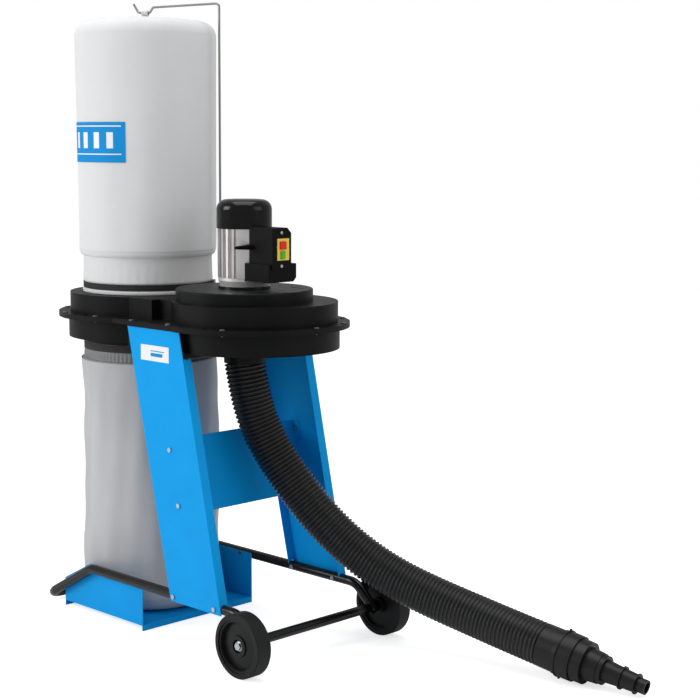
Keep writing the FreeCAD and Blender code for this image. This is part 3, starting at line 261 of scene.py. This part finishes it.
BLACK = (0.0042, 0.0046, 0.0044)
FINISH = {
    "housing": moulded("housing_plastic", BLACK, 0.38, grain=700, depth=0.0002, gloss=0.13),
    "plate": moulded("plate_plastic", (0.005, 0.0055, 0.0055), 0.36, grain=600, gloss=0.13),
    "gloss": moulded("cowl_plastic", (0.0012, 0.0012, 0.0012), 0.14, grain=300, depth=0.00003, gloss=0.3),
    "switch": moulded("switch_plastic", (0.0026, 0.0028, 0.0026), 0.45, grain=1100, depth=0.0003, gloss=0.1),
    "blue": moulded("blue_powder_coat", (0.002, 0.35, 0.83), 0.42, grain=1300, depth=0.0001, gloss=0.09,
                    vary=0.04),
    "tube": moulded("black_powder_coat", (0.004, 0.0035, 0.003), 0.2, grain=900, depth=0.00005, gloss=0.4),
    "hose": moulded("hose_plastic", (0.009, 0.0093, 0.0095), 0.34, grain=700, depth=0.0001, gloss=0.48),
    "nozzle": moulded("nozzle_plastic", (0.006, 0.006, 0.006), 0.36, grain=800, gloss=0.28),
    "tyre": moulded("tyre_rubber", (0.008, 0.0085, 0.0085), 0.5, grain=500, depth=0.0003, gloss=0.25),
    "hub": moulded("hub_plastic", (0.006, 0.006, 0.006), 0.38, grain=800, gloss=0.25),
    "red": moulded("red_button", (0.75, 0.03, 0.012), 0.3, gloss=0.3, vary=0.05),
    "green": moulded("green_button", (0.10, 0.50, 0.02), 0.3, gloss=0.3, vary=0.05),
    "yellow": moulded("yellow_plate", (0.86, 0.64, 0.10), 0.4, gloss=0.2, vary=0.05),
    "white": moulded("white_label", (0.86, 0.88, 0.9), 0.4, gloss=0.3, vary=0.02),
    "label_blue": moulded("label_blue", (0.008, 0.28, 0.68), 0.6, gloss=0.1, vary=0.04),
    "iron": moulded("motor_iron", (0.16, 0.16, 0.17), 0.5, metallic=0.8),
    "alloy": turned_metal("motor_alloy", (0.72, 0.70, 0.70), 0.34, (1, 1, 0.06), metallic=0.9),
    "cast": turned_metal("motor_casting", (0.86, 0.85, 0.85), 0.38, (1, 1, 1), metallic=0.45),
    "dark_steel": turned_metal("dark_steel", (0.16, 0.16, 0.165), 0.42, (1, 1, 0.2), metallic=0.6),
    "steel": turned_metal("bright_steel", (0.56, 0.57, 0.59), 0.3, (1, 1, 0.2)),
    "rod": turned_metal("rod_steel", (0.30, 0.30, 0.31), 0.35, (1, 1, 0.05)),
    "felt": felt("bag_felt", (0.74, 0.745, 0.755)),
    "film": film("sack_film", (0.49, 0.495, 0.505)),
    "webbing": webbing("strap_webbing", (0.007, 0.007, 0.007)),
    "loop": webbing("loop_webbing", (0.5, 0.5, 0.51)),
}
WEARS = {
    "housing": ["upper_housing", "lower_housing", "bag_collar", "drop_collar", "inlet_neck", "rod_socket"],
    "plate": ["motor_plate"],
    "gloss": ["fan_cover"],
    "switch": ["switch_box", "switch_base", "switch_block", "strain_relief"],
    "blue": ["leg_front", "leg_rear", "cross_plate", "base_tray"],
    "tube": ["tube_frame", "axle", "motor_foot", "wheel_spacers"],
    "nozzle": ["nozzle", "hose_cuff", "cooling_fan"],
    "tyre": ["tyre_front", "tyre_rear"],
    "hub": ["hub_front", "hub_rear"],
    "red": ["stop_button"],
    "green": ["start_button"],
    "yellow": ["switch_badge"],
    "white": ["leg_label", "capacitor"],
    "iron": ["stator", "rotor_core", "impeller"],
    "alloy": ["motor_shell", "motor_end"],
    "cast": ["motor_bell"],
    "dark_steel": ["housing_screws", "tray_bolts"],
    "steel": ["motor_bolts", "lower_bearing", "upper_bearing", "switch_screws", "leg_bolts", "wheel_bolts",
              "motor_shaft", "impeller_nut", "filter_buckle", "filter_lever", "waste_buckle", "waste_lever"],
    "rod": ["hanger_rod"],
    "webbing": ["filter_strap", "waste_strap"],
    "loop": ["bag_loop"],
}
for finish, names in WEARS.items():
    for name in names:
        for slot in NODES[name].material_slots:
            slot.material = FINISH[finish]


# ---------------------------------------------------------------- mesh helpers
def piece(name, points, faces, finish):
    """A smooth mesh that rides on the machine's body."""
    mesh = bpy.data.meshes.new(name)
    mesh.from_pydata([tuple(point) for point in points], [], faces)
    mesh.polygons.foreach_set("use_smooth", [True] * len(mesh.polygons))
    mesh.materials.append(FINISH[finish])
    mesh.update()
    made = bpy.data.objects.new(name, mesh)
    bpy.context.scene.collection.objects.link(made)
    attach(made, BODY)
    return made


def grid_faces(rows, columns, closed=True):
    """The quads between rings of points, one ring after another."""
    faces = []
    for row in range(rows - 1):
        for column in range(columns if closed else columns - 1):
            after = (column + 1) % columns
            faces.append((row * columns + column, row * columns + after,
                          (row + 1) * columns + after, (row + 1) * columns + column))
    return faces


def flowing(corners, steps):
    """A smooth line through the given (radius, height) corners."""
    line = []
    ends = [corners[0]] + corners + [corners[-1]]
    for k in range(len(corners) - 1):
        a, b, c, d = (Vector(point) for point in ends[k:k + 4])
        for step in range(steps):
            t = step / steps
            line.append(b + (c - a) * t / 2 + (a * 2 - b * 5 + c * 4 - d) * t * t / 2
                        + (b * 3 - a - c * 3 + d) * t * t * t / 2)
    return line + [Vector(corners[-1])]


def lathe(name, line, columns, finish, move):
    """A skin turned round the bag's axis; move gives the radius and height of each point."""
    points = []
    for radius, height in line:
        for column in range(columns):
            angle = math.tau * column / columns
            r, z = move(radius, height, angle)
            points.append((BAG_AXIS.x + r * math.cos(angle), BAG_AXIS.y + r * math.sin(angle), z))
    return piece(name, points, grid_faces(len(line), columns), finish)


# ---------------------------------------------------------------- hose
def route_points(name, corners):
    """Closely spaced points on the smooth line that the corners steer."""
    curve = bpy.data.curves.new(name, "CURVE")
    curve.dimensions = "3D"
    curve.resolution_u = 40
    spline = curve.splines.new("NURBS")
    spline.points.add(len(corners) - 1)
    for point, corner in zip(spline.points, corners):
        point.co = (*corner, 1)
    spline.order_u = 3
    spline.use_endpoint_u = True
    holder = bpy.data.objects.new(name, curve)
    bpy.context.scene.collection.objects.link(holder)
    bpy.context.view_layer.update()
    mesh = bpy.data.meshes.new_from_object(holder)
    points = [vertex.co.copy() for vertex in mesh.vertices]
    bpy.data.objects.remove(holder)
    bpy.data.meshes.remove(mesh)
    return points


def along_line(points, spacing):
    """Even steps along a line, each with its place and direction."""
    runs = [(after - before).length for before, after in zip(points, points[1:])]
    total = sum(runs)
    count = round(total / spacing)
    steps, gone, run = [], 0.0, 0
    for k in range(count + 1):
        wanted = total * k / count
        while run < len(runs) - 1 and gone + runs[run] < wanted:
            gone += runs[run]
            run += 1
        direction = (points[run + 1] - points[run]).normalized()
        steps.append((points[run] + direction * (wanted - gone), direction))
    return steps


def corrugated_tube(name, steps):
    """The hose's wall, which rises and falls once in every pitch."""
    side = Vector((0, 1, 0))
    points = []
    for k, (centre, direction) in enumerate(steps):
        side = (side - direction * side.dot(direction)).normalized()
        other = direction.cross(side)
        phase = (k % RIB_STEPS) / RIB_STEPS
        crest = 0.5 + 0.5 * math.cos(math.tau * phase)
        r = HOSE_WIDE / 2 - RIB_DEPTH * (1 - crest ** 0.55)
        for column in range(HOSE_COLUMNS):
            angle = math.tau * column / HOSE_COLUMNS
            points.append(centre + (side * math.cos(angle) + other * math.sin(angle)) * r)
    return piece(name, points, grid_faces(len(steps), HOSE_COLUMNS), "hose")


hose_line = route_points("hose_route", HOSE_ROUTE)
hose = corrugated_tube("suction_hose", along_line(hose_line, RIB_PITCH / RIB_STEPS))
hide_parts("hose")


# ---------------------------------------------------------------- filter bag
def bag_shape(radius, height, angle):
    """Soft upright folds that fade towards the shoulder, and small gathers at the strap."""
    full = min(1, max(0, (height - LOW_BAG - 0.10) / 0.05)) * min(1, max(0, (TOP_BAG - 0.02 - height) / 0.2))
    folds = 0.0009 * math.sin(5 * angle + 1.3 + 2 * height) + 0.0006 * math.sin(11 * angle - 3 * height)
    gathers = 0.0005 * math.sin(46 * angle) * max(0, 1 - abs(height - LOW_BAG - 0.04) / 0.05)
    seam = 0.0012 * math.exp(-((angle - 5.9) / 0.012) ** 2)
    return radius + full * folds - gathers + seam - 0.0006 * full, height


strap_low, strap_high = (corner[2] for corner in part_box("filter_strap"))
neck_r = half_width("filter_strap") - STRAP_THICK
line = flowing([
    (neck_r - 0.0015, LOW_BAG + 0.0005), (neck_r + 0.0022, LOW_BAG), (neck_r + 0.0032, LOW_BAG + 0.003),
    (neck_r + 0.0026, strap_low - 0.003), (neck_r - 0.0004, strap_low), (neck_r - 0.0004, strap_high),
    (neck_r + 0.0014, strap_high + 0.004), (neck_r + 0.0004, strap_high + 0.02), (neck_r, LOW_BAG + 0.07),
    (neck_r + 0.0002, LOW_BAG + 0.094), (neck_r + 0.006, LOW_BAG + 0.0985), (BAG_R - 0.0045, LOW_BAG + 0.110),
    (BAG_R - 0.003, LOW_BAG + 0.140), (BAG_R - 0.002, LOW_BAG + 0.35), (BAG_R, LOW_BAG + 0.62),
    (BAG_R, LOW_BAG + 0.665), (BAG_R - 0.001, LOW_BAG + 0.677), (BAG_R - 0.005, LOW_BAG + 0.688),
    (BAG_R - 0.012, LOW_BAG + 0.697), (BAG_R - 0.024, LOW_BAG + 0.7045), (BAG_R - 0.045, TOP_BAG - 0.0075),
    (BAG_R - 0.09, TOP_BAG - 0.003), (0.05, TOP_BAG - 0.0008), (0.0005, TOP_BAG),
], 8)
bag = lathe("felt_bag", line, 220, "felt", bag_shape)
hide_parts("filter_bag")


# ---------------------------------------------------------------- waste sack
def sack_shape(radius, height, angle):
    """Pleats under the strap that open into long shallow creases."""
    below = TOP_SACK - height
    pleat = math.exp(-((below - 0.034) / 0.013) ** 2)
    pleats = 0.0014 * math.sin(96 * angle + 0.8 * math.sin(3 * angle)) * pleat
    body = min(1, max(0, (below - 0.045) / 0.08)) * min(1, max(0, (height - LOW_SACK) / 0.08))
    creases = (0.0016 * math.sin(9 * angle + 5 * height) + 0.0011 * math.sin(17 * angle - 9 * height + 1)
               + 0.0009 * math.sin(4 * angle + 23 * height))
    rings = 0.0012 * math.sin(38 * height + 2 * math.sin(2 * angle)) * body
    filled = body * min(1, max(0, (height - 0.2) / 0.1))
    sway = filled * (0.0015 + 0.006 * math.cos(angle - math.pi / 4))
    return radius + pleats + body * (0.7 * creases - 0.003) + rings + sway, height


mouth_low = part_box("waste_strap")[0][2]
mouth_r = half_width("waste_strap") - STRAP_THICK
line = flowing([
    (mouth_r - 0.001, TOP_SACK), (mouth_r - 0.0004, TOP_SACK - 0.003), (mouth_r - 0.0004, mouth_low),
    (mouth_r + 0.0004, mouth_low - 0.004), (mouth_r + 0.0012, mouth_low - 0.021),
    (mouth_r + 0.004, mouth_low - 0.026), (SACK_R - 0.005, mouth_low - 0.031),
    (SACK_R - 0.003, mouth_low - 0.04), (SACK_R - 0.002, TOP_SACK - 0.2), (SACK_R, TOP_SACK - 0.42),
    (SACK_R, TOP_SACK - 0.55), (SACK_R, LOW_SACK + 0.06), (SACK_R - 0.006, LOW_SACK + 0.03),
    (SACK_R - 0.022, LOW_SACK + 0.008), (SACK_R - 0.05, LOW_SACK + 0.0015),
    (0.06, LOW_SACK + 0.001), (0.0005, LOW_SACK + 0.001),
], 10)
sack = lathe("film_sack", line, 360, "film", sack_shape)
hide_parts("waste_bag")


# ---------------------------------------------------------------- bag's label and loop
def bag_patch(name, start, end, low, high, lift, finish, columns=40, rows=10):
    """A thin patch lying on the bag between two angles and two heights."""
    points = []
    for row in range(rows + 1):
        height = low + (high - low) * row / rows
        for column in range(columns + 1):
            angle = math.radians(start + (end - start) * column / columns)
            base = BAG_R - 0.0021 + 0.0024 * (height - LOW_BAG - 0.35) / 0.27 * 0.8
            radius = bag_shape(base, height, angle % math.tau)[0] + lift
            outward = Vector((math.cos(angle), math.sin(angle)))
            points.append((*(BAG_AXIS.xy + outward * radius), height))
    return piece(name, points, grid_faces(rows + 1, columns + 1, closed=False), finish)


LABEL_LOW = LOW_BAG + 0.341
LABEL_HIGH = LOW_BAG + 0.444
LABEL_LIFT = 0.0012
PRINT_LIFT = 0.0016
label = bag_patch("bag_label", -134, -55.5, LABEL_LOW, LABEL_HIGH, LABEL_LIFT, "label_blue")
for name, low, high in (("label_line_top", LABEL_HIGH - 0.012, LABEL_HIGH - 0.009),
                        ("label_line_low", LABEL_LOW + 0.0195, LABEL_LOW + 0.0225)):
    bag_patch(name, -131, -59, low, high, PRINT_LIFT, "white", rows=1)
for k in range(5):
    start = -126 + 13.5 * k
    bar = bag_patch("label_bar_%d" % k, start, start + 6, LABEL_LOW + 0.036, LABEL_HIGH - 0.026, PRINT_LIFT,
                    "white", columns=6, rows=2)


# The leg's plate carries a bar and a line. They are given as shares of its width and height.
plate_low, plate_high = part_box("leg_label")
PLATE_LIFT = 0.0004
for name, start, end, low, high in (
    ("plate_bar", 0.36, 0.78, 0.3, 0.52),
    ("plate_line", 0.36, 0.84, 0.62, 0.68),
):
    corners = []
    for across, up in ((start, low), (end, low), (end, high), (start, high)):
        x, z = (plate_low[k] + (plate_high[k] - plate_low[k]) * share for k, share in ((0, across), (2, up)))
        corners.append((x, plate_low[1] - PLATE_LIFT, z))
    piece(name, corners, [(0, 1, 2, 3)], "label_blue")


# ---------------------------------------------------------------- floor and light
def studio():
    """A pale floor, a soft key from the left, a broad fill and a light from above."""
    mesh = bpy.data.meshes.new("floor")
    mesh.from_pydata([(-9, -9, 0), (9, -9, 0), (9, 9, 0), (-9, 9, 0)], [], [(0, 1, 2, 3)])
    floor = bpy.data.objects.new("floor", mesh)
    pale = Nodes("pale_floor")
    pale.set(Base_Color=(0.92, 0.92, 0.92, 1), Roughness=0.8, Specular_IOR_Level=0.05)
    pale.shader.inputs["Emission Color"].default_value = (1, 1, 1, 1)
    seen = pale.make("ShaderNodeLightPath").outputs["Is Camera Ray"]
    pale.link(pale.spread(seen, 0.0, 0.66), pale.shader.inputs["Emission Strength"])
    mesh.materials.append(pale.material)
    bpy.context.scene.collection.objects.link(floor)
    world = bpy.data.worlds.new("studio")
    world.use_nodes = True
    tree = world.node_tree
    light_path = tree.nodes.new("ShaderNodeLightPath")
    strength = tree.nodes.new("ShaderNodeMapRange")
    strength.inputs["To Min"].default_value = 0.43
    strength.inputs["To Max"].default_value = 1.0
    tree.links.new(light_path.outputs["Is Camera Ray"], strength.inputs["Value"])
    tree.links.new(strength.outputs["Result"], tree.nodes["Background"].inputs["Strength"])
    tree.nodes["Background"].inputs["Color"].default_value = (1, 1, 1, 1)
    bpy.context.scene.world = world
    bpy.context.scene.view_settings.view_transform = "Standard"
    for name, place, wide, power in (
        ("key", (-2.6, -4.4, 2.6), 2.6, 128),
        ("fill", (4.2, 1.4, 2.4), 2.6, 26),
        ("top", (0.2, -0.2, 4.6), 3.4, 95),
    ):
        light = bpy.data.lights.new(name, "AREA")
        light.shape = "SQUARE"
        light.size = wide
        light.energy = power
        lamp = bpy.data.objects.new(name, light)
        lamp.location = place
        lamp.rotation_euler = (Vector((0, 0, 0.8)) - Vector(place)).to_track_quat("-Z", "Y").to_euler()
        bpy.context.scene.collection.objects.link(lamp)


studio()
